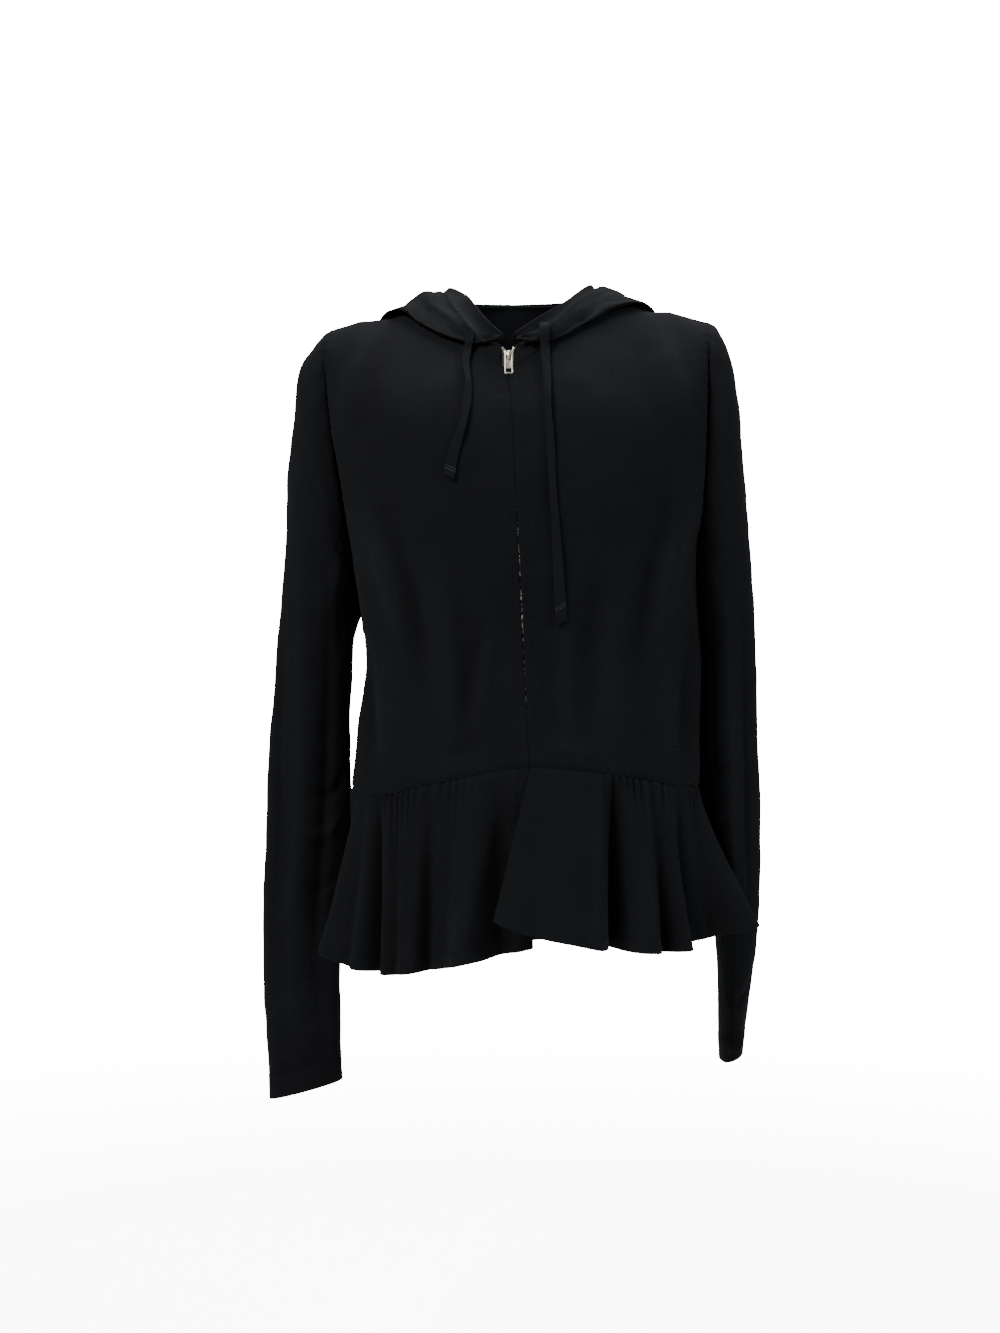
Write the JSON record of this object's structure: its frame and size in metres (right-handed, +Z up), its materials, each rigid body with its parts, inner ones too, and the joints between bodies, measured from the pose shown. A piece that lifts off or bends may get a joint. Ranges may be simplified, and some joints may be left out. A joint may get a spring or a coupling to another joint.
{
  "type": "zip-up hoodie with a peplum hem",
  "caption": "Light jersey zip-up hoodie with a drawstring hood and a gathered peplum hem, hollow, in its worn pose, with a swinging zip pull.",
  "frame": {"origin": "the middle of the shoulder line at neck height, where the wearer's shoulders hold the garment", "axes": "+Z up, -Y out of the garment's front (the zip side), +X towards the wearer's left"},
  "size_m": [0.4338, 0.2939, 0.7139],
  "materials": {
    "jersey": "black fine-gauge cotton jersey knit, soft and matt",
    "zip_tape": "black woven polyester zip tape",
    "zip_metal": "pale nickel-plated zip metal, bright with small scratches"
  },
  "bodies": {
    "garment": {"back": "jersey", "drawcord_left": "jersey", "drawcord_right": "jersey", "front_left": "jersey", "front_right": "jersey", "hood_left": "jersey", "hood_right": "jersey", "peplum_back": "jersey", "peplum_front_left": "jersey", "peplum_front_right": "jersey", "sleeve_left": "jersey", "sleeve_right": "jersey", "zip_box": "zip_metal", "zip_chain": "zip_metal", "zip_slider": "zip_metal", "zip_stop_left": "zip_metal", "zip_stop_right": "zip_metal", "zip_tape_left": "zip_tape", "zip_tape_right": "zip_tape"},
    "pull_tab": {"pull_tab": "zip_metal"}
  },
  "joints": [
    {"name": "pull_tab_swing", "type": "hinge", "parent": "garment", "child": "pull_tab", "pos_m": [-0.00318, -0.08465, -0.03399], "axis": [-1, 0, 0], "range_deg": [0, 155]}
  ]
}
